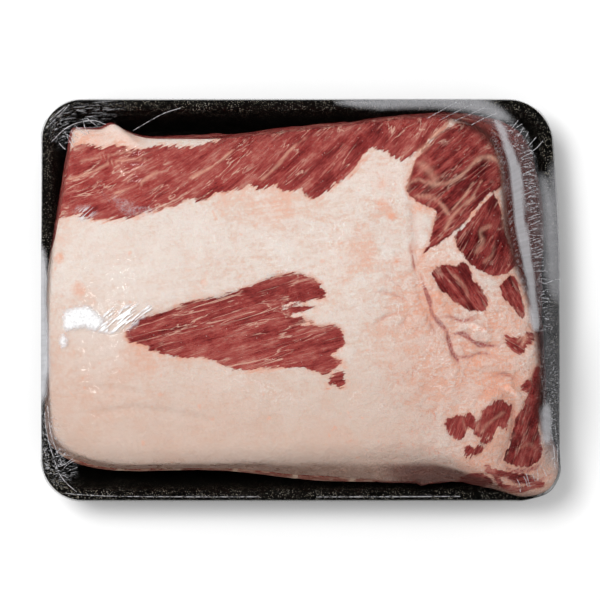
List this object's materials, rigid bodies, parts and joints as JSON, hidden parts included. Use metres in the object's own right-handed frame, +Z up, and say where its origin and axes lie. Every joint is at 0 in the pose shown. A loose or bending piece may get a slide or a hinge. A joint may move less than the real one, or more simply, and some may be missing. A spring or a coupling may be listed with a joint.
{
  "type": "tray-packed bone-in pork loin roast",
  "caption": "Raw bone-in pork loin roast, fat side up, in a black foam tray with clear stretch film drawn tight over the meat and under the base.",
  "frame": {"origin": "middle of the pack's footprint, on the surface that it stands on", "axes": "+X along the roast to its blade end, +Y to the belly side with the bare strip of lean, +Z up out of the fat"},
  "size_m": [0.262, 0.2034, 0.0804],
  "materials": {
    "black_foam": "pressed polystyrene foam, black, satin walls with a finely speckled rim",
    "raw_pork": "moist raw pork, creamy white fat cap with bare red lean and fine marbling",
    "raw_bone": "sawn backbone, pink spongy bone with a pale rim and white cartilage",
    "clear_film": "clear glossy stretch film with fine wrinkles at the corners"
  },
  "bodies": {
    "root": {"foam_tray": "black_foam", "pork_loin": "raw_pork", "chine_bone": "raw_bone", "film_wrap": "clear_film"}
  },
  "joints": []
}
